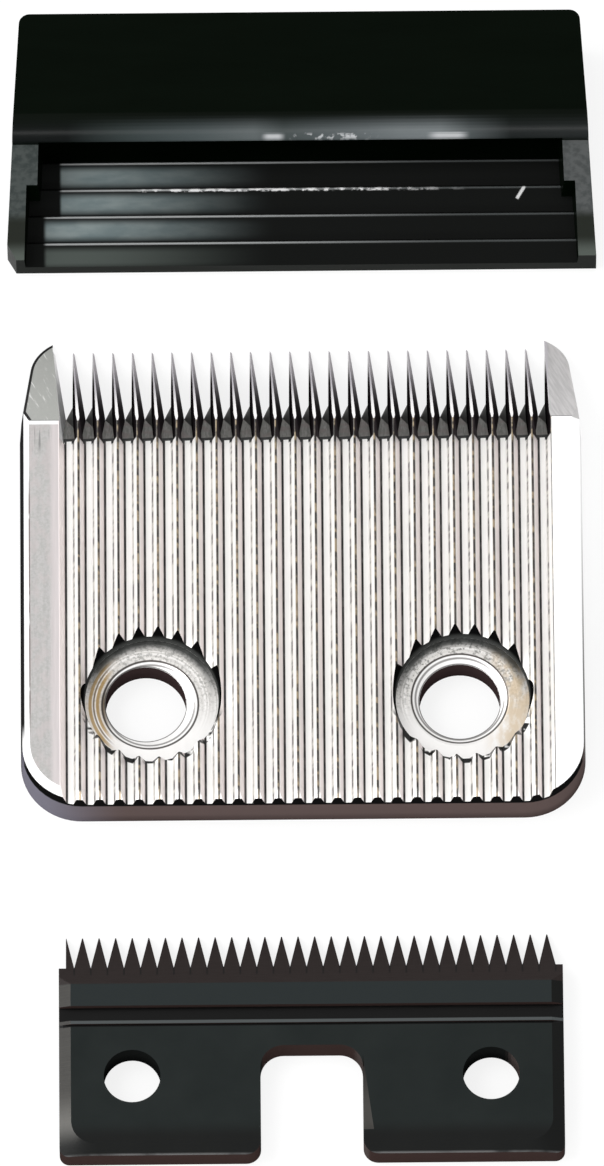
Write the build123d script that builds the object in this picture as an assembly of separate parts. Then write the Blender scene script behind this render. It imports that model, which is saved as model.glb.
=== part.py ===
from build123d import *
import os
from math import atan2, cos, degrees, radians, sin, tan

# Comb blade: the ribbed steel plate that stays still on the clipper
tooth_count = 24          # slender teeth, between one broad tooth at each end
tooth_pitch = 1.615
side_margin = 2.84        # plain strip beside the ribs, if they were in the middle
comb_shift = 0.36         # middle of the ribs and teeth, to the right of the plate's
blade_length = 42.6       # back edge to the points of the broad end teeth
blade_thickness = 4.6
wall_draft = 2.5          # degrees that the outer wall leans in, bottom to top
corner_radius = 5.0       # back corners
edge_chamfer = 0.6        # along the sides and round the back corners

# Ground slope at the front of the comb blade, and the teeth in it
bevel_length = 8.8        # from the points back to the full thickness
tip_thickness = 0.25      # at the points of the end teeth
tooth_setback = 0.8       # slender teeth end this far behind the end teeth
tooth_tip = 0.3           # thickness at the points of the slender teeth
tooth_land = 0.32         # flat along a tooth, where the slope starts
tooth_narrowing = 0.9     # degrees by which each flank closes in towards the point
tooth_point = 0.1         # width of a slender tooth at its point
slot_floor_width = 0.5    # between two teeth, where the slope starts
slot_reach = 6.7          # from the end teeth to the slot's root, on the underside
slot_root_shift = 0.1     # the slot's root lies this far to the left of its middle
slot_skew = 3.0           # degrees that the slots lean to the left
ramp_angle = 43.0         # degrees of the slot's run-out, up to the ribs
ramp_corner = 0.65        # the run-out's foot goes this much further on its right
ramp_corner_height = 1.5  # and has come back by this height
flank_height = 2.0        # below this height the slot's left flank closes in to the root
ear_inset = 0.85          # an end tooth's side leans in by this
ear_curve = 3.0           # length of the curve out to an end tooth's point

# Ribs along the comb blade's face, one behind each tooth
rib_depth = 1.5
rib_land = 0.12           # flat along the crest
rib_floor = 0.55          # flat floor between two ribs

# Screw holes of the comb blade, each in a sunk seat that is a little off its centre
screw_spacing = 25.6
screw_inset = 9.4         # back edge to the hole's centre
screw_hole = 6.6          # diameter
seat_spacing = 25.35
seat_inset = 9.5          # back edge to the seat's centre
seat_diameter = 10.9
seat_depth = 2.1          # below the ribs' lands
seat_lean = 10.0          # degrees that the seat's wall opens upwards
lip_width = 0.75          # sloping ring round the hole
lip_fall = 0.3

# Cutter: the black blade that runs across the comb
cutter_teeth = 30
cutter_pitch = 1.348
cutter_end_step = 0.58    # plain end beside the first and the last tooth
cutter_length = 19.85     # back edge to the tooth points
cutter_thickness = 2.3
cutter_tooth_length = 3.2
cutter_tooth_tip = 0.08   # width of a point
cutter_bevel_length = 4.85
cutter_tip_thickness = 0.3
cutter_corner = 0.8       # back corners, as an outline
rim_width = 0.95          # sloping rim round the cutter's face
rim_drop = 0.3
face_corner = 2.0         # back corners of the face inside the rim

# Grooves across the cutter's face
front_land = 1.95         # flat between the front slope and the wide groove
groove_width = 1.3
groove_depth = 0.5
groove_ridge = 0.3        # left standing between the two grooves
line_width = 0.25         # the narrow second groove
line_depth = 0.2

# Pin holes and drive notch of the cutter
pin_spacing = 29.1
pin_inset = 6.85          # back edge to the hole's centre
pin_hole = 4.6            # diameter
notch_width = 8.3
notch_depth = 9.45
notch_radius = 1.9        # inner corners
mouth_radius = 1.2        # where the notch opens at the back edge
facet_start = 2.0         # ground facet on the notch's right edge, from the back edge
facet_end = 8.6
facet_width = 0.85        # at its back end; it runs out to nothing at its front end
facet_depth = 0.9

# Guard: the moulded cap for the teeth, with an open mouth and a closed pocket
guard_width = 48.5        # outside, at the mouth
guard_wall = 1.65         # at the foot; the blade's end teeth go in between the walls
guard_taper = 1.2         # each side comes in by this, from mouth to back
guard_length = 20.05
guard_height = 7.5
guard_floor = 1.2
guard_back = 1.2
guard_panel = 1.6         # thickness of the top panel
panel_length = 10.95
panel_roll = 1.9          # rounded front edge of the panel
mouth_wall_height = 2.6   # side walls fall to this at the mouth
stop_width = 0.9          # the walls step in by this behind the mouth
stop_start = 5.9          # mouth to that step
wall_lean = 4.0           # degrees of moulding draft inside the walls
guard_corner = 0.9        # upright edges at the back
corner_cut_x = 0.8        # cut off one mouth corner
corner_cut_y = 1.4

# Ridges across the guard's floor, each with its steep side to the back
ridge_count = 4
ridge_first = 1.95        # mouth to the first crest
ridge_pitch = 2.42
ridge_height = 0.4
ridge_fall = 0.3          # length of the steep side
ridge_round = 0.14        # radius along each crest

# Places of the three pieces, laid out in line
guard_gap = 6.6           # guard's mouth to the comb's end teeth
cutter_gap = 10.5         # comb blade's back edge to the cutter's points
blade_shift = -0.2        # comb blade's middle, to the right of the guard's
cutter_shift = 0.26       # cutter's middle, the same way

# Worked out from the sizes above
past = 1.0                # cuts run past the surface by this
comb_width = (tooth_count + 1) * tooth_pitch
blade_width = comb_width + 2 * side_margin
bevel_start = blade_length - bevel_length
tooth_run = bevel_length - tooth_setback
tooth_angle = atan2(blade_thickness - tooth_tip, tooth_run)
tooth_lean = bevel_length * tan(radians(slot_skew))
cutter_width = (cutter_teeth - 0.5) * cutter_pitch + 2 * cutter_end_step
layout_length = guard_length + guard_gap + blade_length + cutter_gap + cutter_length
cutter_back_y = -layout_length / 2
blade_back_y = cutter_back_y + cutter_length + cutter_gap
guard_mouth_y = blade_back_y + blade_length + guard_gap


def polygon(points):
    """A flat face with straight edges through the points."""
    return make_face(Polyline(*points, close=True))


def side_prism(points, width):
    """A side profile, given as (y, z) points, made as wide as stated about x = 0."""
    return extrude(Plane.YZ * polygon(points), amount=width / 2, both=True)


def above(solid, a, b, c):
    """The part of a solid above the plane through three points."""
    across = Vector(*b) - Vector(*a)
    along = Vector(*c) - Vector(*a)
    up = across.cross(along)
    if up.Z < 0:
        up = -up
    return split(solid, bisect_by=Plane(origin=a, z_dir=up), keep=Keep.TOP)


def slope_cut(length, run, thickness, tip, width):
    """What a ground slope takes off the front of a plate."""
    fall = (thickness - tip) / run
    start = length - run
    profile = [
        (start - past, thickness + past * fall),
        (length + past, tip - past * fall),
        (length + past, thickness + past * fall),
    ]
    return side_prism(profile, width)


def blade_outline():
    """The comb blade's outline with its rounded back corners, a little past the points."""
    outline = Rectangle(blade_width, blade_length + past, align=(Align.CENTER, Align.MIN))
    return fillet(outline.vertices().group_by(Axis.Y)[0], corner_radius)


def front_outline():
    """What the end teeth leave of the outline: sides that lean in, and a curve to each point."""
    half = blade_width / 2
    ear = half - ear_inset
    curve = blade_length - ear_curve
    rise = curve - bevel_start
    wide = half + ear_inset * (bevel_start + past) / rise
    right_point = (comb_shift + comb_width / 2 - tooth_lean, blade_length)
    left_point = (comb_shift - comb_width / 2 - tooth_lean, blade_length)
    return make_face([
        Polyline((-ear, curve), (-wide, -past), (wide, -past), (ear, curve)),
        TangentArc((ear, curve), right_point, tangent=(-ear_inset, rise)),
        Line(right_point, left_point),
        TangentArc((-ear, curve), left_point, tangent=(ear_inset, rise)),
    ])


def blade_plate():
    """The plate before its ribs are ground, with its chamfered rim and its front slopes."""
    plate = extrude(blade_outline(), amount=blade_thickness, taper=wall_draft)
    plate = chamfer(rim_edges(plate), edge_chamfer)
    plate &= extrude(front_outline(), amount=blade_thickness, taper=wall_draft)
    plate -= slope_cut(blade_length, bevel_length, blade_thickness, tip_thickness, 2 * blade_width)
    toothed = comb_width - tooth_pitch
    slope = slope_cut(blade_length - tooth_setback, tooth_run, blade_thickness, tooth_tip, toothed)
    return plate - Pos(comb_shift, 0, 0) * slope


def rim_edges(plate):
    """Top edges along the sides and round the back corners."""
    top = plate.faces().sort_by(Axis.Z)[-1]
    return [e for e in top.edges() if abs(e.center().X) > blade_width / 4]


def rib_groove():
    """One groove between two ribs, over the whole length."""
    top = (tooth_pitch - rib_land) / 2
    floor = rib_floor / 2
    low = blade_thickness - rib_depth
    profile = polygon([(-top, blade_thickness), (-floor, low), (floor, low), (top, blade_thickness)])
    return Pos(0, -past, 0) * extrude(Plane.XZ * profile, amount=-(blade_length + 2 * past))


def tooth_slot():
    """One slot between two teeth, ground along the front slope and ended by a ramp."""
    along = Vector(0, cos(tooth_angle), -sin(tooth_angle))
    start = Vector(0, bevel_start, blade_thickness) - along * past
    grinding = Plane(origin=start, x_dir=(1, 0, 0), z_dir=along)
    depth = blade_thickness * cos(tooth_angle)
    top = (tooth_pitch - tooth_land) / 2
    floor = slot_floor_width / 2
    side = (top - floor) / depth
    deep = depth + past
    profile = polygon([
        (-top, -past),
        (top, -past),
        (top, 0),
        (floor - side * past, deep),
        (side * past - floor, deep),
        (-top, 0),
    ])
    reach = blade_length + past
    channel = extrude(grinding * profile, amount=reach, taper=-tooth_narrowing)
    root = blade_length - slot_reach
    slope = tan(radians(ramp_angle))
    height = blade_thickness + past
    zone = side_prism(
        [(root + past / slope, -past), (root - height / slope, height), (reach, height), (reach, -past)],
        tooth_pitch,
    )
    apex = (-slot_root_shift, root, 0)
    foot = (floor, root + ramp_corner, 0)
    right_side = (top, root - ramp_corner_height / slope, ramp_corner_height)
    left_side = (-(top + floor) / 2, root - flank_height / slope, flank_height)
    point = (-(tooth_pitch - tooth_point) / 2, blade_length - tooth_setback, tooth_tip)
    slot = above(channel & zone, apex, foot, right_side)
    slot = above(slot, apex, left_side, point)
    return Pos(0, bevel_start, 0) * Rot(0, 0, slot_skew) * Pos(0, -bevel_start, 0) * slot


def screw_hole_cut():
    """One screw hole with its sloping lip."""
    bore = screw_hole / 2
    seat = blade_thickness - seat_depth
    lip = bore + lip_width
    profile = polygon([
        (0, -past),
        (bore, -past),
        (bore, seat - lip_fall),
        (lip, seat),
        (lip, blade_thickness),
        (0, blade_thickness),
    ])
    return revolve(Plane.XZ * profile, axis=Axis.Z)


def seat_cut():
    """One flat sunk seat, with its wall opening upwards."""
    seat = blade_thickness - seat_depth
    rim = seat_diameter / 2
    wide = rim + (seat_depth + past) * tan(radians(seat_lean))
    high = blade_thickness + past
    return revolve(Plane.XZ * polygon([(0, seat), (rim, seat), (wide, high), (0, high)]), axis=Axis.Z)


def fixed_blade():
    """The comb blade: ribbed face, sunk screw holes and ground teeth."""
    blade = blade_plate()
    spots = [comb_shift + (i - tooth_count / 2) * tooth_pitch for i in range(tooth_count + 1)]
    blade -= [Pos(x, 0, 0) * rib_groove() for x in spots]
    blade -= [Pos(x, 0, 0) * tooth_slot() for x in spots]
    setback = Box(comb_width, tooth_setback + past, 2 * blade_thickness + past)
    blade -= Pos(comb_shift - tooth_lean, blade_length + (past - tooth_setback) / 2, 0) * setback
    for side in (-1, 1):
        blade -= Pos(comb_shift + side * seat_spacing / 2, seat_inset, 0) * seat_cut()
        blade -= Pos(side * screw_spacing / 2, screw_inset, 0) * screw_hole_cut()
    return blade


def cutter_outline():
    """The cutter's outline with its row of teeth, rounded at the back corners."""
    left = -cutter_width / 2
    root = cutter_length - cutter_tooth_length
    tip = cutter_tooth_tip / 2
    first = left + cutter_end_step
    edge = [(left, 0), (left, root), (first, root)]
    for i in range(cutter_teeth):
        x = first + i * cutter_pitch
        edge += [(max(x - tip, first), cutter_length), (x + tip, cutter_length)]
        edge += [(x + cutter_pitch / 2, root)]
    edge += [(-left, root), (-left, 0)]
    outline = polygon(edge)
    return fillet(outline.vertices().group_by(Axis.Y)[0], cutter_corner)


def cutter_face():
    """What the sloping rim leaves of the cutter, open to the front."""
    width = cutter_width - 2 * rim_width
    reach = 2 * cutter_length
    face = Pos(0, rim_width + reach / 2) * Rectangle(width, reach)
    face = fillet(face.vertices().group_by(Axis.Y)[0], face_corner)
    slope = degrees(atan2(rim_width, rim_drop))
    return extrude(Pos(0, 0, cutter_thickness) * face, amount=-cutter_thickness, taper=-slope)


def drive_notch():
    """The notch for the drive arm, flared where it opens at the back edge."""
    half = notch_width / 2
    wide = half + mouth_radius
    mouth = polygon([(-wide, -past), (wide, -past), (wide, mouth_radius), (-wide, mouth_radius)])
    for side in (-1, 1):
        mouth -= Pos(side * wide, mouth_radius) * Circle(mouth_radius)
    slot = Pos(0, (notch_depth - past) / 2) * Rectangle(notch_width, notch_depth + past)
    slot = fillet(slot.vertices().group_by(Axis.Y)[-1], notch_radius)
    return extrude(slot + mouth, amount=cutter_thickness)


def notch_facet():
    """What is ground off the notch's right edge."""
    edge = notch_width / 2
    length = facet_end - facet_start
    top = cutter_thickness
    room = Box(facet_width, length, facet_depth, align=(Align.MIN, Align.MIN, Align.MAX))
    room = Pos(edge, facet_start, top) * room
    wide_end = (edge + facet_width, facet_start, top)
    return above(room, (edge, facet_end, top), wide_end, (edge, facet_start, top - facet_depth))


def cross_groove(front, width, depth):
    """A groove across the whole face, from its front edge backwards."""
    groove = Box(2 * cutter_width, width, depth + past)
    return Pos(0, front - width / 2, cutter_thickness + (past - depth) / 2) * groove


def cutter_blade():
    """The cutter: toothed front slope, grooved face, pin holes and drive notch."""
    cutter = extrude(cutter_outline(), amount=cutter_thickness) & cutter_face()
    cutter -= slope_cut(
        cutter_length, cutter_bevel_length, cutter_thickness, cutter_tip_thickness, 2 * cutter_width)
    groove_front = cutter_length - cutter_bevel_length - front_land
    line_front = groove_front - groove_width - groove_ridge
    cutter -= cross_groove(groove_front, groove_width, groove_depth)
    cutter -= cross_groove(line_front, line_width, line_depth)
    cutter -= drive_notch()
    cutter -= notch_facet()
    pin = Cylinder(pin_hole / 2, 3 * cutter_thickness)
    cutter -= [Pos(side * pin_spacing / 2, pin_inset, 0) * pin for side in (-1, 1)]
    return cutter


def guard_plan(inset, start):
    """The guard's tapered outline drawn in by an inset, from a start line to the back."""
    slope = guard_taper / guard_length
    front = guard_width / 2 - inset - slope * start
    back = guard_width / 2 - inset - guard_taper
    return polygon([(-front, start), (front, start), (back, guard_length), (-back, guard_length)])


def guard_shell():
    """The guard's outside, with its rolled panel edge and falling side walls."""
    plan = guard_plan(0, 0)
    block = extrude(plan, amount=guard_height)
    block = fillet(block.edges().filter_by(Axis.Z).group_by(Axis.Y)[-1], guard_corner)
    panel_front = guard_length - panel_length
    lip = guard_height - panel_roll
    high = lip + 2 * past
    falling = [(-past, mouth_wall_height), (0, mouth_wall_height), (panel_front, lip)]
    air = side_prism(falling + [(panel_front, high), (-past, high)], 2 * guard_width)
    roll = Pos(0, panel_front + panel_roll, lip) * Rot(0, 90, 0) * Cylinder(panel_roll, 2 * guard_width)
    square = side_prism(
        [(panel_front - past, lip), (panel_front + panel_roll, lip),
         (panel_front + panel_roll, guard_height + past), (panel_front - past, guard_height + past)],
        2 * guard_width,
    )
    half = guard_width / 2
    corner = polygon([(-half - past, -past), (-half + corner_cut_x, -past), (-half + corner_cut_x, 0),
                      (-half, corner_cut_y), (-half - past, corner_cut_y)])
    return block - air - (square - roll) - extrude(corner, amount=guard_height)


def guard_hollow():
    """The room inside the guard: an open tray at the mouth and a pocket under the panel."""
    deep = guard_length - guard_back
    ceiling = guard_height - guard_panel
    panel_front = guard_length - panel_length
    crest = guard_floor + ridge_height
    profile = [(-past, guard_floor), (0, guard_floor)]
    for i in range(ridge_count):
        y = ridge_first + i * ridge_pitch
        profile += [(y, crest), (y + ridge_fall, guard_floor)]
    profile += [
        (deep, guard_floor),
        (deep, ceiling),
        (panel_front, ceiling),
        (panel_front, guard_height + past),
        (-past, guard_height + past),
    ]
    section = polygon(profile)
    section = fillet(section.vertices().group_by(Axis.Y)[1], ridge_round)
    room = extrude(Plane.YZ * section, amount=guard_width / 2, both=True)
    tray = extrude(guard_plan(guard_wall, -past), amount=2 * guard_height, taper=-wall_lean)
    pocket = guard_plan(guard_wall + stop_width, stop_start)
    pocket = extrude(pocket, amount=2 * guard_height, taper=-wall_lean)
    tray -= Pos(0, stop_start + guard_length / 2, guard_height) * Box(
        2 * guard_width, guard_length, 4 * guard_height)
    return room & (tray + pocket)


def blade_guard():
    """The moulded cap, one piece."""
    return guard_shell() - guard_hollow()


os.makedirs("parts", exist_ok=True)
export_step(Pos(blade_shift, blade_back_y, 0) * fixed_blade(), "parts/fixed_blade.step")
export_step(Pos(cutter_shift, cutter_back_y, 0) * cutter_blade(), "parts/cutter_blade.step")
export_step(Pos(0, guard_mouth_y, 0) * blade_guard(), "parts/blade_guard.step")
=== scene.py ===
import math

import bpy
from mathutils import Matrix, Vector


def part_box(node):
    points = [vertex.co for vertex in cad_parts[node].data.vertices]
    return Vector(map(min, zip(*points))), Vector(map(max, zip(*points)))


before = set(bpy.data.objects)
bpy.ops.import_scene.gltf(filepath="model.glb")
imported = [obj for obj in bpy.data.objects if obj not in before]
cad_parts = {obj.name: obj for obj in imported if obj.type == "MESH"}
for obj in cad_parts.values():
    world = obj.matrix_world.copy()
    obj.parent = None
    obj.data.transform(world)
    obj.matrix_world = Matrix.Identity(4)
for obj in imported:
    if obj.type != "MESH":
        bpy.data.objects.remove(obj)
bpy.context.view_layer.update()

MM = 0.001
WHITE = (1.0, 1.0, 1.0)

# The photograph's frame and how it sees the object
IMAGE_HEIGHT = 1166
PIXELS_PER_MM = 12.22
VIEW_ELEVATION = math.radians(66)
VIEW_ROLL = math.radians(-0.5)
VIEW_DISTANCE = 2.0
VIEW_AIM = Vector((-0.18, 1.65, 0.0)) * MM
SENSOR_HEIGHT = 36.0

# The floor and the light
FLOOR_SIZE = 3.0
FLOOR_DROP = 0.02 * MM
FLOOR_GLOW = 0.82
TENT_LEFT = 1.10
TENT_RIGHT = 0.70

# Comb blade, in millimetres from its middle, its back edge and its underside
BLADE_LENGTH = 42.6
OUTSIDE = 22.83
CHAMFER_INSIDE = OUTSIDE - 0.6
BACK_CORNER = 5.0
TOOTH_PITCH = 1.615
COMB_HALF_WIDTH = 20.19
COMB_SHIFT = 0.36
RIB_FLOOR = 3.1
SLOT_START = 32.0
BEVEL_START = BLADE_LENGTH - 8.8
LEFT_MARGIN_END = (-18.0, -16.0)
GRINDING_SLANT = math.radians(-24)

# Marks along one rib, as shares of the pitch: its crest is at 0 and the groove's middle at 0.5
CREST_LINE = (-0.040, 0.085)
WARM_FLANK = (0.11, 0.31)
FOOT_LINE = (0.295, 0.41)
DOTTED_LINE = (0.725, 0.795)
LINE_SOFTNESS = 0.025

# The left end tooth's outer edge: a side that leans in, a curve to the point and a clipped corner
EAR_INSET = 0.85
EAR_CURVE_START = Vector((-22.1775, 39.6))
EAR_CURVE_RADIUS = 4.383
EAR_LEAN = math.atan2(EAR_INSET, EAR_CURVE_START.y - BEVEL_START)
EAR_CORNER = 4.0
EAR_CORNER_STEEPNESS = 0.8
EAR_LINE = 0.22
WALL_DRAFT = math.radians(2.5)

# Screw seats of the comb blade: holes, seats and turned rings, which are a little off centre
SCREW_X = 12.8
SCREW_INSET = 9.4
SCREW_HOLE_RADIUS = 3.3
SEAT_X = 12.675
SEAT_INSET = 9.5
SEAT_RADIUS = 5.45
RING_X = (-12.45, 12.8)
RING_Y = (9.25, 9.58)
RING_RADIUS = 3.93

# Cutter, in millimetres from its middle, its back edge and its underside
CUTTER_THICKNESS = 2.3
CUTTER_SLOPE_TOP = 15.0
CUTTER_ROOT = 16.65
CUTTER_PITCH = 1.348
CUTTER_FIRST = -19.88
GROOVE_FRONT = 13.05
GROOVE_BACK = 11.75
GROOVE_LINE = 11.45
NOTCH_RIGHT = (3.0, 4.0)

# Guard, in millimetres from its middle, its mouth and its underside
GUARD_SPAN = 48.0
RIDGE_FIRST = 1.95
RIDGE_PITCH = 2.42
PANEL_FRONT = 9.1
PANEL_ROLL = 1.9
FLECK_SLANT = math.radians(-58.5)


def grey(value):
    """A colour without a tint."""
    return (value, value, value)


class Finish:
    """One material's node tree, with short calls for the nodes that the finishes share."""

    def __init__(self, name, middle=0.0, back=0.0):
        """Places are in millimetres, from the piece's middle and from its edge nearest the camera."""
        self.material = bpy.data.materials.new(name)
        self.material.use_nodes = True
        self.tree = self.material.node_tree
        self.shader = self.tree.nodes["Principled BSDF"]
        metres = self.node("ShaderNodeTexCoord").outputs["Object"]
        self.place = self.stretch(self.stretch(metres, (1 / MM, 1 / MM, 1 / MM)), move=(-middle, -back, 0.0))
        self.x, self.y, self.z = self.split(self.place)
        self.nx, self.ny, self.nz = self.split(self.node("ShaderNodeNewGeometry").outputs["True Normal"])

    def node(self, kind, **settings):
        """A new node with its settings."""
        made = self.tree.nodes.new(kind)
        for name, value in settings.items():
            setattr(made, name, value)
        return made

    def feed(self, socket, value):
        """Links a socket, or sets a plain value."""
        if isinstance(value, bpy.types.NodeSocket):
            self.tree.links.new(value, socket)
        elif socket.type == "RGBA":
            socket.default_value = (*value, 1.0)
        else:
            socket.default_value = value

    def surface(self, colour, roughness, shine):
        """Feeds the shader's colour, its roughness and how much it mirrors."""
        self.feed(self.shader.inputs["Base Color"], colour)
        self.feed(self.shader.inputs["Roughness"], roughness)
        self.feed(self.shader.inputs["Specular IOR Level"], shine)

    def split(self, vector):
        """The three parts of a vector."""
        parts = self.node("ShaderNodeSeparateXYZ")
        self.feed(parts.inputs[0], vector)
        return parts.outputs

    def sum(self, operation, a, b=0.0, c=0.0):
        """One step of arithmetic."""
        made = self.node("ShaderNodeMath", operation=operation)
        for socket, value in zip(made.inputs, (a, b, c)):
            self.feed(socket, value)
        return made.outputs[0]

    def less(self, value, amount):
        """A value less an amount."""
        return self.sum("SUBTRACT", value, amount)

    def both(self, *masks):
        """Where all the masks hold. A plain number among them makes the mask weaker."""
        whole = masks[0]
        for mask in masks[1:]:
            whole = self.sum("MULTIPLY", whole, mask)
        return whole

    def either(self, *masks):
        """Where any of the masks holds."""
        whole = masks[0]
        for mask in masks[1:]:
            whole = self.sum("MAXIMUM", whole, mask)
        return whole

    def outside(self, mask):
        """Where the mask doesn't hold."""
        return self.less(1.0, mask)

    def rise(self, value, low, high):
        """A mask that goes smoothly from 0 at low to 1 at high."""
        made = self.node("ShaderNodeMapRange", interpolation_type="SMOOTHSTEP")
        self.feed(made.inputs["Value"], value)
        self.feed(made.inputs["From Min"], low)
        self.feed(made.inputs["From Max"], high)
        return made.outputs["Result"]

    def band(self, value, low, high, soft):
        """A mask that holds between low and high, with soft edges."""
        up = self.rise(value, low - soft, low + soft)
        down = self.rise(value, high + soft, high - soft)
        return self.both(up, down)

    def reach(self, a, b):
        """Distance from a centre, by two offsets from it."""
        square = self.sum("MULTIPLY", a, a)
        return self.sum("SQRT", self.sum("MULTIPLY_ADD", b, b, square))

    def repeat(self, value, start, pitch, shift=0.0):
        """How far along one repeat of a row a place is, from 0 to 1, with the start at the shift."""
        turns = self.sum("DIVIDE", self.less(value, start), pitch)
        return self.sum("FRACT", self.sum("ADD", turns, shift))

    def stretch(self, vector, scale=(1.0, 1.0, 1.0), angle=0.0, move=(0.0, 0.0, 0.0)):
        """Coordinates scaled, turned about Z and moved."""
        made = self.node("ShaderNodeMapping")
        self.feed(made.inputs["Vector"], vector)
        made.inputs["Location"].default_value = move
        made.inputs["Rotation"].default_value = (0.0, 0.0, angle)
        made.inputs["Scale"].default_value = scale
        return made.outputs["Vector"]

    def across(self, value):
        """Places that follow one value only."""
        made = self.node("ShaderNodeCombineXYZ")
        self.feed(made.inputs["X"], value)
        return made.outputs["Vector"]

    def noise(self, vector, detail, scale=1.0):
        """Cloudy noise over the given places."""
        made = self.node("ShaderNodeTexNoise")
        self.feed(made.inputs["Vector"], vector)
        made.inputs["Scale"].default_value = scale
        made.inputs["Detail"].default_value = detail
        made.inputs["Roughness"].default_value = 0.55
        return made.outputs["Fac"]

    def pattern(self, scale, detail, seed=0.0):
        """Noise over the piece, with its own scale along each axis, different for each seed."""
        return self.noise(self.stretch(self.place, scale, move=(seed, seed, 0.0)), detail)

    def ramp(self, value, stops):
        """Colours along a value: stops are (place, colour)."""
        made = self.node("ShaderNodeValToRGB")
        self.feed(made.inputs["Fac"], value)
        points = made.color_ramp.elements
        while len(points) < len(stops):
            points.new(1.0)
        for point, (where, colour) in zip(points, stops):
            point.position = where
            point.color = (*colour, 1.0)
        return made.outputs["Color"]

    def blend(self, kind, mask, under, over):
        """One value laid on another of its kind where the mask holds."""
        made = self.node("ShaderNodeMix", data_type=kind)
        self.feed(made.inputs["Factor"], mask)
        self.feed(made.inputs["A"], under)
        self.feed(made.inputs["B"], over)
        return made.outputs["Result"]

    def mix(self, mask, under, over):
        """The colour over, laid on the colour under where the mask holds."""
        return self.blend("RGBA", mask, under, over)

    def level(self, mask, under, over):
        """As mix, for plain numbers."""
        return self.blend("FLOAT", mask, under, over)

    def relief(self, height, depth_mm):
        """Small relief in the surface."""
        made = self.node("ShaderNodeBump")
        made.inputs["Strength"].default_value = 1.0
        made.inputs["Distance"].default_value = depth_mm * MM
        self.feed(made.inputs["Height"], height)
        self.feed(self.shader.inputs["Normal"], made.outputs["Normal"])


class CombFinish(Finish):
    """The comb blade's node tree, with the patterns, places and masks that its regions share."""

    def __init__(self, middle, back):
        super().__init__("ground_steel", middle, back)
        self.streaks = self.pattern((6.0, 0.25, 1.0), 4.0)
        self.grime = self.pattern((1.2, 0.7, 1.0), 3.0)
        self.speckle = self.pattern((4.5, 4.5, 1.0), 2.0)
        self.broken = self.patches(0.0)
        turned = self.stretch(self.place, angle=GRINDING_SLANT)
        self.marks = self.noise(self.stretch(turned, (5.0, 0.22, 1.0)), 3.0)

        self.comb_x = self.less(self.x, COMB_SHIFT)
        self.from_comb = self.sum("ABSOLUTE", self.comb_x)
        self.from_middle = self.sum("ABSOLUTE", self.x)
        self.from_hole = self.less(self.from_middle, SCREW_X)
        self.hole_radius = self.reach(self.from_hole, self.less(self.y, SCREW_INSET))
        self.behind = self.less(self.y, SEAT_INSET)
        self.seat_radius = self.reach(self.less(self.from_comb, SEAT_X), self.behind)

        self.right = self.rise(self.x, -5.0, 5.0)
        self.past_margin = self.rise(self.x, *LEFT_MARGIN_END)
        self.upright = self.rise(self.nz, 0.285, 0.265)
        sides = self.rise(self.from_middle, CHAMFER_INSIDE - 0.1, CHAMFER_INSIDE)
        back_corners = self.rise(self.y, BACK_CORNER + 1.0, BACK_CORNER)
        self.chamfer = self.both(self.either(sides, back_corners), self.rise(self.nz, 0.9, 0.8))
        self.ribbed = self.both(self.rise(self.from_comb, COMB_HALF_WIDTH + 0.02, COMB_HALF_WIDTH - 0.02),
                                self.rise(self.nz, 0.2, 0.3), self.rise(self.ny, 0.2, 0.1))
        forward = self.rise(self.ny, 0.25, 0.32)
        self.slope = self.both(forward, self.rise(self.nz, 0.81, 0.85))
        toothed = self.both(self.rise(self.y, SLOT_START, SLOT_START + 0.2),
                            self.rise(self.from_comb, COMB_HALF_WIDTH + 0.6, COMB_HALF_WIDTH + 0.5))
        self.run_out = self.both(toothed, forward, self.band(self.nz, 0.45, 0.81, 0.03))
        self.steep = self.both(toothed, self.rise(self.nz, 0.6, 0.5),
                               self.rise(self.y, SLOT_START + 0.25, SLOT_START + 0.35))
        self.seat = self.both(self.rise(self.seat_radius, SEAT_RADIUS + 0.03, SEAT_RADIUS - 0.03),
                              self.rise(self.nz, 0.3, 0.5))
        self.in_hole = self.both(self.rise(self.seat_radius, SEAT_RADIUS + 0.6, SEAT_RADIUS + 0.5),
                                 self.upright)

    def patches(self, seed):
        """Short stretches along each rib, different for each seed."""
        return self.pattern((0.62, 1.1, 0.2), 2.0, seed)


def margin_colour(f):
    """Plain ground steel: a mottled left margin with a few streaks in front, inside a bright chamfer."""
    pale_mottle = (0.57, 0.555, 0.55)
    dark_mottle = (0.50, 0.495, 0.48)
    warm_mottle = (0.60, 0.55, 0.545)
    beside_ribs = (0.68, 0.63, 0.63)
    dark_chamfer_line = (0.16, 0.115, 0.11)
    colour = f.mix(f.rise(f.speckle, 0.35, 0.65), pale_mottle, dark_mottle)
    colour = f.mix(f.both(f.rise(f.grime, 0.45, 0.65), 0.6), colour, warm_mottle)
    scored = f.both(f.band(f.y, BEVEL_START - 2.6, BEVEL_START - 0.6, 0.5), f.rise(f.streaks, 0.50, 0.66))
    colour = f.mix(f.both(scored, 0.7), colour, grey(0.20))
    colour = f.mix(f.rise(f.x, -20.7, -20.2), colour, beside_ribs)
    colour = f.mix(f.rise(f.y, BEVEL_START - 0.38, BEVEL_START - 0.28), colour, WHITE)
    colour = f.mix(f.past_margin, colour, WHITE)
    colour = f.mix(f.chamfer, colour, WHITE)
    # A broken dark line along the inner edge of the left chamfer
    edge_line = f.both(f.band(f.x, -CHAMFER_INSIDE - 0.05, -CHAMFER_INSIDE + 0.05, 0.05),
                       f.band(f.y, 6.5, 28.5, 2.0))
    colour = f.mix(f.both(edge_line, f.rise(f.grime, 0.2, 0.5)), colour, dark_chamfer_line)
    # Painted shade: a near-black line along the left outer edge, for the outer wall in shade
    left_edge_shade = f.both(f.rise(f.x, -OUTSIDE + 0.20, -OUTSIDE + 0.12),
                      f.rise(f.y, BACK_CORNER, BACK_CORNER + 2.0))
    return f.mix(left_edge_shade, colour, grey(0.008))


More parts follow.
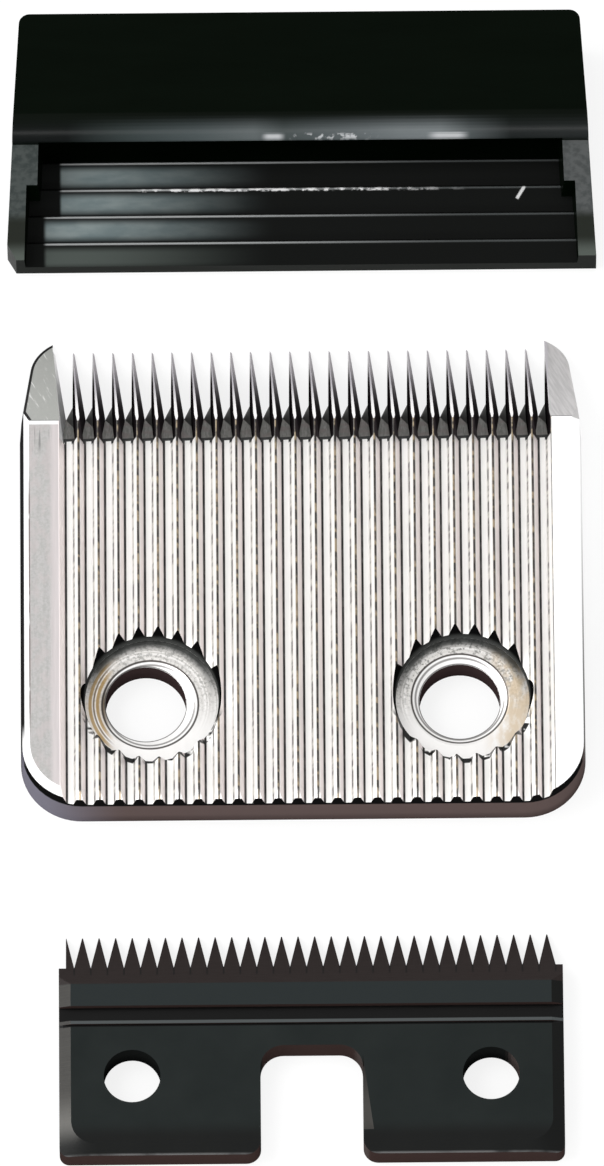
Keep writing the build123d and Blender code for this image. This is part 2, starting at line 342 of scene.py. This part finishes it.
def rib_colour(f):
    """One rib: a dark line of painted shade beside the crest, with straw-coloured patches, a warm flank
    painted partly as shade, a dark line of painted shade at its foot, then bright floor.
    """
    bright = (1.0, 0.99, 0.97)
    warm = (0.84, 0.77, 0.76)
    crest_shade = (0.016, 0.013, 0.011)
    straw_crest = (0.30, 0.235, 0.15)
    dull_crest = (0.080, 0.065, 0.055)
    dull_foot = (0.085, 0.078, 0.075)
    pale_dot = (0.62, 0.60, 0.56)
    dark_dot = (0.05, 0.047, 0.042)
    from_crest = f.repeat(f.x, COMB_SHIFT, TOOTH_PITCH, 0.5)
    round_crest = f.repeat(f.x, COMB_SHIFT, TOOTH_PITCH)
    first = f.rise(f.comb_x, 0.4 - COMB_HALF_WIDTH, 0.3 - COMB_HALF_WIDTH)
    # Painted shade with a warm tint: the flank that falls away from the crest is darker and pinker
    colour = f.mix(f.either(f.band(from_crest, *WARM_FLANK, 0.03), first), bright, warm)
    low, high = CREST_LINE
    crest_line = f.both(f.band(round_crest, 0.5 + low, 0.5 + high, LINE_SOFTNESS), f.outside(first))
    # Painted shade beside the crest, broken by straw-coloured and duller patches
    crest = f.mix(f.rise(f.broken, 0.46, 0.62), crest_shade, straw_crest)
    crest = f.mix(f.rise(f.patches(3.0), 0.45, 0.70), crest, dull_crest)
    colour = f.mix(crest_line, colour, crest)
    # Painted shade: a dark line in the groove's corner at the rib's foot
    foot = f.mix(f.rise(f.patches(9.0), 0.42, 0.72), grey(0.008), dull_foot)
    colour = f.mix(f.band(from_crest, *FOOT_LINE, LINE_SOFTNESS), colour, foot)
    dots = f.mix(f.rise(f.patches(15.0), 0.40, 0.62), pale_dot, dark_dot)
    return f.mix(f.band(from_crest, *DOTTED_LINE, LINE_SOFTNESS), colour, dots)


def ear_edge_shade(f):
    """A narrow mask along the outer edge of the left end tooth: side, curve and clipped corner. It places
    painted shade for the shaded outer wall.
    """
    inward = Vector((math.cos(EAR_LEAN), -math.sin(EAR_LEAN)))
    centre = EAR_CURVE_START + inward * EAR_CURVE_RADIUS
    side = f.sum("MULTIPLY_ADD", f.x, inward.x, -inward.dot(EAR_CURVE_START))
    side = f.sum("MULTIPLY_ADD", f.y, inward.y, side)
    curve = f.less(EAR_CURVE_RADIUS, f.reach(f.less(f.x, centre.x), f.less(f.y, centre.y)))
    edge = f.level(f.rise(f.y, EAR_CURVE_START.y - 0.05, EAR_CURVE_START.y + 0.05), side, curve)
    edge = f.sum("MULTIPLY_ADD", f.z, -math.tan(WALL_DRAFT), edge)
    corner = f.less(f.sum("ADD", f.x, OUTSIDE + EAR_CORNER), f.z)
    edge = f.sum("MINIMUM", edge, f.sum("MULTIPLY", corner, EAR_CORNER_STEEPNESS))
    return f.rise(edge, EAR_LINE + 0.03, EAR_LINE - 0.03)


def slope_colour(f):
    """The front slope: grey end teeth with slanting grinding marks, and bright lands between them."""
    left_grey = (0.37, 0.375, 0.36)
    left_pale = (0.42, 0.425, 0.40)
    left_mark = (0.70, 0.70, 0.68)
    right_grey = (0.47, 0.46, 0.46)
    right_mark = (0.58, 0.565, 0.565)
    land_root = (1.0, 0.98, 0.98)
    land_point = (0.52, 0.50, 0.53)
    left_end = f.mix(f.rise(f.marks, 0.60, 0.70), f.mix(f.speckle, left_grey, left_pale), left_mark)
    # Painted shade: a near-black line along the left end tooth's outer edge
    left_end = f.mix(ear_edge_shade(f), left_end, grey(0.004))
    right_end = f.mix(f.rise(f.marks, 0.35, 0.65), right_grey, right_mark)
    end_tooth = f.mix(f.right, left_end, right_end)
    end_tooth = f.mix(f.rise(f.y, BEVEL_START + 0.12, BEVEL_START + 0.06), end_tooth, grey(0.25))
    # Painted reflection: the lands are darker towards the points, where they would mirror the dark guard
    land = f.mix(f.rise(f.y, BEVEL_START + 1.0, BLADE_LENGTH - 4.2), land_root, land_point)
    return f.mix(f.rise(f.from_comb, COMB_HALF_WIDTH - 0.3, COMB_HALF_WIDTH - 0.1), land, end_tooth)


def run_out_colour(f):
    """Run-outs of the slots, streaked along, with painted shade on their left-facing sides and a black end of
    painted shade under the ribs.
    """
    dark = (0.165, 0.165, 0.150)
    pale = (0.31, 0.305, 0.285)
    brown = (0.24, 0.185, 0.18)
    shaded = (0.105, 0.105, 0.10)
    colour = f.mix(f.rise(f.streaks, 0.35, 0.65), dark, pale)
    colour = f.mix(f.both(f.rise(f.broken, 0.45, 0.65), 0.6), colour, brown)
    colour = f.mix(f.rise(f.nx, -0.2, -0.5), colour, shaded)
    return f.mix(f.rise(f.z, RIB_FLOOR - 0.46, RIB_FLOOR - 0.34), colour, grey(0.002))


def flank_colour(f):
    """The teeth's flanks, dark at the root as painted shade deep in the slots, and paler towards the points.
    """
    left_root = (0.010, 0.008, 0.009)
    left_point = (0.55, 0.54, 0.54)
    right_root = (0.050, 0.041, 0.045)
    right_point = (0.50, 0.48, 0.50)
    left = f.mix(f.rise(f.y, BLADE_LENGTH - 4.2, BLADE_LENGTH - 1.0), left_root, left_point)
    right = f.mix(f.rise(f.y, BLADE_LENGTH - 6.6, BLADE_LENGTH - 2.1), right_root, right_point)
    colour = f.mix(f.rise(f.nx, 0.2, 0.5), left, right)
    return f.mix(f.rise(f.comb_x, 1.0 - COMB_HALF_WIDTH, 0.9 - COMB_HALF_WIDTH), colour, grey(0.9))


def outer_walls(f):
    """The mask of the plate's outer walls, without the slots and the holes."""
    outward = f.sum("MULTIPLY", f.sum("SIGN", f.x), f.nx)
    sides = f.both(f.upright, f.rise(f.from_middle, 19.4, 19.6), f.rise(outward, 0.1, 0.3))
    return f.either(sides, f.both(f.upright, f.rise(f.y, 3.0, 2.0)))


def wall_colour(f):
    """Outer walls: brown at the back, violet round the left corner, near black on the left as painted shade,
    pale on the right.
    """
    brown = (0.074, 0.054, 0.051)
    brown_foot = (0.020, 0.014, 0.014)
    violet = (0.115, 0.11, 0.135)
    past_corner = f.rise(f.y, BACK_CORNER - 1.5, BACK_CORNER + 1.5)
    colour = f.mix(f.both(f.rise(f.z, 1.3, 0.1), 0.5), brown, brown_foot)
    colour = f.mix(f.rise(f.x, -14.0, -22.0), colour, violet)
    # Painted shade: the left walls past the corner are near black
    colour = f.mix(f.both(past_corner, f.rise(f.x, 0.0, -20.0)), colour, grey(0.008))
    pale = f.mix(f.rise(f.y, 8.0, 30.0), grey(0.16), grey(0.85))
    colour = f.mix(f.both(past_corner, f.rise(f.x, 0.0, 20.0)), colour, pale)
    top_line = f.both(f.rise(f.z, RIB_FLOOR - 0.40, RIB_FLOOR - 0.25), f.rise(f.ny, -0.1, -0.35))
    return f.mix(top_line, colour, grey(0.004))


def seat_colour(f):
    """Turned screw seats: dark along the far edge, straw-stained on their outer sides, with a ringed lip."""
    dark_turning = (0.62, 0.60, 0.57)
    pale_turning = (0.90, 0.88, 0.86)
    near_side = (0.93, 0.915, 0.90)
    spot = (0.24, 0.24, 0.225)
    stain = (0.66, 0.52, 0.35)
    brown = (0.10, 0.060, 0.020)
    straw = (0.40, 0.25, 0.075)
    far_shade = (0.034, 0.038, 0.036)
    polished = (0.97, 0.96, 0.95)
    ring_line = (0.05, 0.042, 0.038)
    hole_rim = (0.03, 0.026, 0.024)
    ring = f.reach(f.less(f.x, f.level(f.right, *RING_X)), f.less(f.y, f.level(f.right, *RING_Y)))
    turning = f.noise(f.across(ring), 2.0, 5.0)
    colour = f.mix(f.rise(turning, 0.35, 0.65), dark_turning, pale_turning)
    colour = f.mix(f.rise(f.behind, 0.5, -3.0), colour, near_side)
    spotted = f.both(f.rise(f.speckle, 0.46, 0.64), f.rise(f.behind, -2.5, 2.5))
    colour = f.mix(f.both(spotted, f.level(f.right, 0.6, 0.85)), colour, spot)
    stained = f.both(f.rise(f.from_hole, 1.5, 4.4), f.rise(f.grime, 0.30, 0.60))
    colour = f.mix(f.both(stained, f.level(f.right, 0.45, 0.8)), colour, stain)

    # Golden arcs on the left seat's outer side
    golden = f.both(f.rise(f.from_hole, 2.4, 3.5), f.rise(f.right, 0.6, 0.4))
    arcs = ((RING_RADIUS - 0.12, 0.12, brown), (4.30, 0.13, straw), (4.60, 0.07, brown), (4.90, 0.14, straw))
    for line, width, tint in arcs:
        arc = f.both(golden, f.band(ring, line - width, line + width, 0.05), 0.85)
        colour = f.mix(arc, colour, tint)

    # The shaded far edge, then the lip with its two rings and the rim of the hole
    shaded = f.both(f.rise(f.seat_radius, SEAT_RADIUS - 1.0, SEAT_RADIUS - 0.25), f.rise(f.behind, -0.5, 3.4))
    colour = f.mix(f.both(shaded, 0.93), colour, far_shade)
    lip = f.both(f.rise(ring, RING_RADIUS, RING_RADIUS - 0.04),
                 f.outside(f.both(golden, f.rise(ring, 3.6, 3.7))))
    colour = f.mix(lip, colour, polished)
    for line, depth in ((RING_RADIUS, 0.95), (RING_RADIUS - 0.32, 0.7)):
        colour = f.mix(f.both(f.band(ring, line - 0.08, line + 0.08, 0.04), depth), colour, ring_line)
    rim = f.band(f.hole_radius, SCREW_HOLE_RADIUS, SCREW_HOLE_RADIUS + 0.09, 0.03)
    return f.mix(f.both(rim, 0.85), colour, hole_rim)


def hole_wall_colour(f):
    """Walls of the screw holes, and of the seats round them, which are darker at the top."""
    hole = (0.034, 0.022, 0.022)
    seat_foot = (0.05, 0.052, 0.05)
    seat_wall = f.mix(f.rise(f.z, 2.5, 3.4), seat_foot, grey(0.003))
    return f.mix(f.rise(f.hole_radius, SCREW_HOLE_RADIUS + 0.4, SCREW_HOLE_RADIUS + 0.7), hole, seat_wall)


def ground_steel(middle, back):
    """Bright ground steel: ribs with dark lines that are mostly painted shade, dark slots, turned seats and
    brown walls.
    """
    clipped_corner = (0.52, 0.51, 0.51)
    f = CombFinish(middle, back)
    colour = f.mix(f.ribbed, margin_colour(f), rib_colour(f))
    colour = f.mix(f.slope, colour, slope_colour(f))
    clipped = f.both(f.chamfer, f.rise(f.y, BEVEL_START - 0.05, BEVEL_START), f.right)
    colour = f.mix(clipped, colour, clipped_corner)
    colour = f.mix(f.run_out, colour, run_out_colour(f))
    colour = f.mix(f.steep, colour, flank_colour(f))
    colour = f.mix(outer_walls(f), colour, wall_colour(f))
    colour = f.mix(f.seat, colour, seat_colour(f))
    # Painted shade: a ragged dark line at the rib ends just outside the near side of each seat
    rib_foot_shade = f.both(f.band(f.seat_radius, SEAT_RADIUS + 0.06, SEAT_RADIUS + 0.50, 0.04),
                    f.rise(f.behind, -1.0, -2.5), f.rise(f.broken, 0.42, 0.50))
    colour = f.mix(rib_foot_shade, colour, grey(0.006))
    colour = f.mix(f.in_hole, colour, hole_wall_colour(f))

    # Ribs, slopes and run-outs are duller than the margins, and upright faces do not shine
    metal = f.level(f.past_margin, 0.95, 0.50)
    metal = f.level(f.either(f.ribbed, f.slope, f.run_out), metal, 0.35)
    metal = f.level(f.seat, metal, 0.75)
    metal = f.level(f.both(f.chamfer, f.right), metal, 0.1)
    f.feed(f.shader.inputs["Metallic"], f.level(f.upright, metal, 0.0))
    shine = f.level(f.either(f.run_out, f.both(f.ribbed, f.rise(f.nz, 0.5, 0.4))), 0.5, 0.12)
    shine = f.level(f.upright, shine, 0.0)
    shine = f.level(f.either(f.steep, f.in_hole), shine, 0.0)
    f.surface(colour, f.level(f.rise(f.streaks, 0.3, 0.7), 0.30, 0.38), shine)
    f.relief(f.sum("ADD", f.streaks, f.sum("MULTIPLY", f.marks, 0.4)), 0.005)
    return f.material


def oxide_face_colour(f, cloud, grain):
    """The cutter's slate face with a dark right rim, and its brown slope with dark lines below the gaps."""
    dark_slate = (0.0035, 0.0060, 0.0058)
    pale_slate = (0.0085, 0.0118, 0.0112)
    back_edge = (0.0025, 0.0030, 0.0028)
    front_land = (0.0105, 0.0145, 0.015)
    right_rim = (0.0018, 0.0022, 0.0020)
    dark_brown = (0.010, 0.0065, 0.006)
    pale_brown = (0.018, 0.0125, 0.0115)
    gap_line = (0.004, 0.003, 0.003)
    face = f.mix(cloud, dark_slate, pale_slate)
    face = f.mix(f.rise(f.y, 3.0, 1.4), face, back_edge)
    face = f.mix(f.rise(f.y, GROOVE_FRONT - 0.05, GROOVE_FRONT), face, front_land)
    face = f.mix(f.both(f.rise(f.nx, 0.10, 0.20), f.rise(f.nz, 0.6, 0.8)), face, right_rim)
    on_slope = f.rise(f.y, CUTTER_SLOPE_TOP - 0.02, CUTTER_SLOPE_TOP + 0.02)
    colour = f.mix(on_slope, face, f.mix(grain, dark_brown, pale_brown))
    gap = f.repeat(f.x, CUTTER_FIRST, CUTTER_PITCH)
    below_gap = f.both(f.band(gap, 0.45, 0.55, 0.04),
                       f.band(f.y, CUTTER_ROOT - 0.75, CUTTER_ROOT + 0.1, 0.15))
    return f.mix(below_gap, colour, gap_line)


def blackened_steel(middle, back):
    """Black oxide on steel: slate face, browner slopes and teeth, and a painted reflection on the left rim.
    """
    pale_ridge = (0.050, 0.056, 0.057)
    brown_wall = (0.026, 0.0165, 0.0150)
    pin_wall = (0.0060, 0.0066, 0.0064)
    notch_wall = (0.045, 0.036, 0.034)
    rim_sheen_dark = (0.024, 0.023, 0.021)
    rim_sheen_pale = (0.048, 0.046, 0.042)
    rim_sheen_end = (0.105, 0.102, 0.095)
    facet_front = (0.010, 0.009, 0.008)
    facet_back = (0.036, 0.034, 0.031)
    f = Finish("blackened_steel", middle, back)
    cloud = f.pattern((0.25, 0.25, 0.25), 4.0)
    grain = f.pattern((0.6, 9.0, 2.0), 4.0)
    from_middle = f.sum("ABSOLUTE", f.x)
    notch_right = f.rise(f.x, *NOTCH_RIGHT)
    upright = f.rise(f.nz, 0.3, 0.15)
    lying = f.rise(f.nz, 0.6, 0.8)
    colour = oxide_face_colour(f, cloud, grain)

    # The two grooves are painted near black as shade in the recesses, with a paler ridge between them
    ridge = f.band(f.y, GROOVE_LINE + 0.02, GROOVE_BACK - 0.02, 0.03)
    colour = f.mix(ridge, colour, pale_ridge)
    wide_groove = f.both(f.band(f.y, GROOVE_BACK, GROOVE_FRONT, 0.02),
                         f.rise(f.z, CUTTER_THICKNESS - 0.02, CUTTER_THICKNESS - 0.12))
    grooves = f.either(wide_groove, f.band(f.y, GROOVE_LINE - 0.24, GROOVE_LINE - 0.01, 0.01))
    colour = f.mix(grooves, colour, grey(0.0012))

    # Walls are brown, and the edge above the back wall carries a painted highlight
    colour = f.mix(f.both(upright, f.rise(f.ny, -0.2, -0.5)), colour, brown_wall)
    in_hole = f.both(upright, f.band(f.y, 4.5, 10.5, 0.1), f.rise(from_middle, 9.0, 9.5),
                     f.rise(from_middle, 19.0, 18.5))
    colour = f.mix(in_hole, colour, pin_wall)
    colour = f.mix(f.both(upright, f.rise(f.nx, -0.5, -0.8), notch_right), colour, notch_wall)
    painted_highlight = f.both(lying, f.rise(f.y, 0.22, 0.05), f.rise(cloud, 0.30, 0.60))
    colour = f.mix(painted_highlight, colour, grey(0.085))

    # Painted reflection: the left-facing rim and the facet beside the notch are painted paler, as if lit from
    # the bright left side
    painted_rim_sheen = f.both(f.rise(f.nx, -0.15, -0.25), lying, f.rise(f.x, -15.0, -17.0), f.rise(f.y, 0.6, 3.2),
                  f.rise(f.y, CUTTER_SLOPE_TOP + 0.1, CUTTER_SLOPE_TOP - 0.1), f.outside(grooves))
    rim_sheen = f.mix(grain, rim_sheen_dark, rim_sheen_pale)
    colour = f.mix(painted_rim_sheen, colour, f.mix(f.rise(f.y, 6.0, 2.2), rim_sheen, rim_sheen_end))
    facet = f.both(f.rise(f.nx, -0.35, -0.45), f.band(f.nz, 0.3, 0.9, 0.05), notch_right)
    colour = f.mix(facet, colour, f.mix(f.rise(f.y, 8.5, 3.5), facet_front, facet_back))
    f.surface(colour, f.level(cloud, 0.30, 0.50), f.level(upright, 0.15, 0.0))
    f.relief(grain, 0.010)
    return f.material


class GuardFinish(Finish):
    """The guard's node tree, with the patterns and masks that its regions share."""

    def __init__(self, middle, back):
        super().__init__("moulded_plastic", middle, back)
        self.flow = self.pattern((0.12, 0.5, 0.5), 3.0)
        self.soft = self.pattern((0.30, 0.9, 0.5), 3.0)
        self.grit = self.pattern((1.6, 2.2, 1.0), 4.0)
        self.roll = self.both(self.rise(self.z, 5.6, 5.8),
                              self.band(self.y, PANEL_FRONT, PANEL_FRONT + PANEL_ROLL, 0.1))
        self.inside = self.both(self.rise(self.y, 9.6, 9.2), self.rise(self.z, 2.6, 2.2),
                                self.rise(self.nz, 0.3, 0.5))
        # The floor where the painted reflection and crest highlights lie. It stops short of the left wall, so
        # a dark strip stays beside the wall as its shade.
        deep_end = self.both(self.rise(self.x, -19.95, -19.65), self.rise(self.y, 4.3, 4.4))
        front_end = self.both(self.rise(self.x, -21.3, -20.9), self.rise(self.y, 4.4, 4.3))
        self.ridged = self.both(self.inside, self.sum("ADD", deep_end, front_end))


def rolled_edge(f, colour):
    """The rolled front edge of the panel, with painted highlights along it and a few small painted glints."""
    glint_colour = (0.40, 0.41, 0.42)
    along = f.sum("MULTIPLY_ADD", f.x, 1 / GUARD_SPAN, 0.5)
    # Painted highlight: how bright the roll looks along its length, strongest where it turns to face the
    # front
    painted_highlight = f.ramp(along, [
        (0.10, (0.004, 0.005, 0.005)),
        (0.20, (0.026, 0.034, 0.034)),
        (0.32, (0.050, 0.062, 0.064)),
        (0.42, (0.085, 0.098, 0.100)),
        (0.47, (0.046, 0.056, 0.056)),
        (0.58, (0.080, 0.092, 0.096)),
        (0.67, (0.120, 0.135, 0.140)),
        (0.74, (0.130, 0.145, 0.150)),
        (0.79, (0.055, 0.064, 0.066)),
        (0.86, (0.010, 0.012, 0.012)),
        (0.94, (0.012, 0.014, 0.014)),
    ])
    tilt = f.sum("MULTIPLY", f.ny, -1.0)
    colour = f.mix(f.both(f.roll, f.rise(tilt, 0.10, 1.0)), colour, painted_highlight)
    # Painted glints: a few bright spots low on the roll
    glint = f.either(f.band(along, 0.438, 0.468, 0.008), f.band(along, 0.725, 0.780, 0.012),
                    f.both(f.band(along, 0.49, 0.62, 0.02), f.rise(f.grit, 0.52, 0.60)))
    return f.mix(f.both(f.roll, glint, f.band(tilt, 0.86, 0.97, 0.06)), colour, glint_colour)


def ridges_painted_light(f, colour):
    """Ridges of the floor: painted reflection towards the left, a painted highlight along each crest and
    painted shade just behind it.
    """
    bare_floor = (0.0032, 0.0036, 0.0033)
    dim_reflection = (0.110, 0.140, 0.144)
    bright_reflection = (0.160, 0.190, 0.190)
    mouth_reflection = (0.048, 0.057, 0.052)
    left_crest_highlight = (0.30, 0.31, 0.31)
    right_crest_highlight = (0.055, 0.060, 0.060)
    crest = f.repeat(f.y, RIDGE_FIRST, RIDGE_PITCH, 0.5)
    between = f.rise(f.sum("ABSOLUTE", f.less(crest, 0.5)), 0.06, 0.36)
    # Painted reflection: the ridges are paler towards the left, as if they mirrored a bright left side
    painted_reflection = f.mix(f.rise(f.soft, 0.30, 0.70), dim_reflection, bright_reflection)
    painted_reflection = f.mix(f.rise(f.y, RIDGE_FIRST, RIDGE_FIRST - 0.2), painted_reflection, mouth_reflection)
    colour = f.mix(f.inside, colour, bare_floor)
    colour = f.mix(f.both(f.ridged, between, f.rise(f.x, -2.0, -19.0)), colour, painted_reflection)
    # Painted highlight along each crest, stronger on the left
    pale = f.mix(f.rise(f.x, -10.0, 14.0), left_crest_highlight, right_crest_highlight)
    colour = f.mix(f.both(f.ridged, f.band(crest, 0.44, 0.51, 0.03), 0.85), colour, pale)
    # Painted shade: a dark line in the valley just behind each crest
    colour = f.mix(f.both(f.inside, f.band(crest, 0.54, 0.62, 0.03)), colour, grey(0.004))

    # A frayed moulding line on one crest, and one white fleck
    frayed = f.both(f.inside, f.band(crest, 0.41, 0.53, 0.03), f.band(f.y, 6.0, 7.6, 0.1),
                    f.rise(f.grit, 0.46, 0.58), f.rise(f.x, -14.0, -12.5), f.rise(f.x, 15.0, 4.0))
    colour = f.mix(frayed, colour, grey(0.55))
    along, across, _ = f.split(f.stretch(f.place, angle=FLECK_SLANT))
    fleck = f.both(f.inside, f.band(along, 14.2, 15.4, 0.08), f.band(across, -12.25, -12.0, 0.06))
    return f.mix(fleck, colour, grey(0.5))


def wall_tops(f, colour):
    """Tops of the side walls, rough from moulding and darker on the left."""
    right_dark = (0.044, 0.048, 0.048)
    right_pale = (0.066, 0.070, 0.070)
    left_dark = (0.028, 0.034, 0.033)
    left_pale = (0.046, 0.053, 0.051)
    low_dark = (0.014, 0.016, 0.013)
    low_pale = (0.060, 0.070, 0.062)
    top = f.both(f.rise(f.z, 2.3, 2.5), f.rise(f.nz, 0.8, 0.88), f.rise(f.sum("ABSOLUTE", f.x), 20.0, 20.3),
                 f.rise(f.y, PANEL_FRONT, PANEL_FRONT - 0.05))
    rough = f.rise(f.grit, 0.35, 0.65)
    right_top = f.mix(rough, right_dark, right_pale)
    left_top = f.mix(rough, left_dark, left_pale)
    top_colour = f.mix(f.rise(f.x, 5.0, -5.0), right_top, left_top)
    low_end = f.mix(f.rise(f.y, 1.6, 0.2), low_dark, low_pale)
    top_colour = f.mix(f.rise(f.y, 3.9, 2.9), top_colour, low_end)
    return f.mix(top, colour, top_colour)


def moulded_plastic(middle, back):
    """Black moulding: dull panel, slightly shinier rolled edge with painted highlights, ridges inside with
    painted reflection, highlights and shade, and rough wall tops.
    """
    panel_dark = (0.0003, 0.0013, 0.0003)
    panel_pale = (0.0009, 0.0025, 0.0010)
    f = GuardFinish(middle, back)
    colour = f.mix(f.flow, panel_dark, panel_pale)
    colour = rolled_edge(f, colour)
    colour = ridges_painted_light(f, colour)
    colour = wall_tops(f, colour)
    shine = f.level(f.ridged, f.level(f.roll, 0.03, 0.06), 0.05)
    f.surface(colour, f.level(f.flow, 0.24, 0.38), shine)
    f.relief(f.flow, 0.02)
    return f.material


def paper_white():
    """The pale floor: its shadows stay, but light."""
    f = Finish("paper_white")
    fibre = f.pattern((0.05, 0.05, 0.05), 2.0)
    f.surface(f.mix(fibre, grey(0.955), grey(0.965)), 0.9, 0.1)
    ray = f.node("ShaderNodeLightPath").outputs
    seen = f.either(ray["Is Camera Ray"], ray["Is Glossy Ray"], ray["Is Transmission Ray"])
    glow = f.node("ShaderNodeEmission")
    lit = f.node("ShaderNodeMixShader")
    f.feed(lit.inputs["Fac"], f.both(seen, FLOOR_GLOW))
    f.feed(lit.inputs[1], f.shader.outputs["BSDF"])
    f.feed(lit.inputs[2], glow.outputs["Emission"])
    f.feed(f.tree.nodes["Material Output"].inputs["Surface"], lit.outputs["Shader"])
    return f.material


def dress(node, finish):
    """Puts a finish on a CAD node, laid out from its middle and its edge nearest the camera."""
    low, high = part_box(node)
    material = finish((low[0] + high[0]) / 2 / MM, low[1] / MM)
    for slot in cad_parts[node].material_slots:
        slot.material = material


def floor():
    """A wide pale floor just under the pieces."""
    bpy.ops.mesh.primitive_plane_add(size=FLOOR_SIZE, location=(0, 0, -FLOOR_DROP))
    plane = bpy.context.object
    plane.name = "floor"
    plane.data.materials.append(paper_white())


def softbox(name, place, aim, size, power):
    """A rectangular lamp that faces a point."""
    lamp = bpy.data.lights.new(name, "AREA")
    lamp.shape = "RECTANGLE"
    lamp.size, lamp.size_y = size
    lamp.energy = power
    holder = bpy.data.objects.new(name, lamp)
    holder.location = place
    holder.rotation_euler = (Vector(aim) - Vector(place)).to_track_quat("-Z", "Y").to_euler()
    bpy.context.collection.objects.link(holder)


def light_tent():
    """Soft light from all round, brighter on the left and weaker on the right."""
    world = bpy.data.worlds.new("light_tent")
    bpy.context.scene.world = world
    world.use_nodes = True
    tree = world.node_tree
    background = tree.nodes["Background"]
    place = tree.nodes.new("ShaderNodeTexCoord")
    parts = tree.nodes.new("ShaderNodeSeparateXYZ")
    tree.links.new(place.outputs["Generated"], parts.inputs[0])
    ramp = tree.nodes.new("ShaderNodeMapRange")
    ramp.inputs["From Min"].default_value = -1.0
    ramp.inputs["From Max"].default_value = 1.0
    ramp.inputs["To Min"].default_value = TENT_LEFT
    ramp.inputs["To Max"].default_value = TENT_RIGHT
    tree.links.new(parts.outputs["X"], ramp.inputs["Value"])
    tree.links.new(ramp.outputs["Result"], background.inputs["Strength"])
    background.inputs["Color"].default_value = (*WHITE, 1.0)


def camera():
    """A long lens at the photograph's angle and framing."""
    lens = bpy.data.cameras.new("camera")
    lens.sensor_fit = "VERTICAL"
    lens.sensor_height = SENSOR_HEIGHT
    lens.lens = SENSOR_HEIGHT * VIEW_DISTANCE / (IMAGE_HEIGHT / PIXELS_PER_MM * MM)
    lens.clip_end = 5 * VIEW_DISTANCE
    holder = bpy.data.objects.new("camera", lens)
    back = Vector((0.0, -math.cos(VIEW_ELEVATION), math.sin(VIEW_ELEVATION)))
    turn = Matrix.Rotation(math.pi / 2 - VIEW_ELEVATION, 4, "X") @ Matrix.Rotation(VIEW_ROLL, 4, "Z")
    holder.matrix_world = Matrix.Translation(VIEW_AIM + back * VIEW_DISTANCE) @ turn
    bpy.context.collection.objects.link(holder)
    bpy.context.scene.camera = holder


dress("fixed_blade", ground_steel)
dress("cutter_blade", blackened_steel)
dress("blade_guard", moulded_plastic)

floor()
light_tent()
softbox("key", place=(-0.50, 0.05, 0.55), aim=(0, 0, 0), size=(0.5, 0.5), power=4.0)
softbox("front_strip", place=(0.0, -0.60, 0.20), aim=(0, 0.03, 0), size=(0.45, 0.14), power=2.0)
camera()
bpy.context.scene.view_settings.view_transform = "Standard"
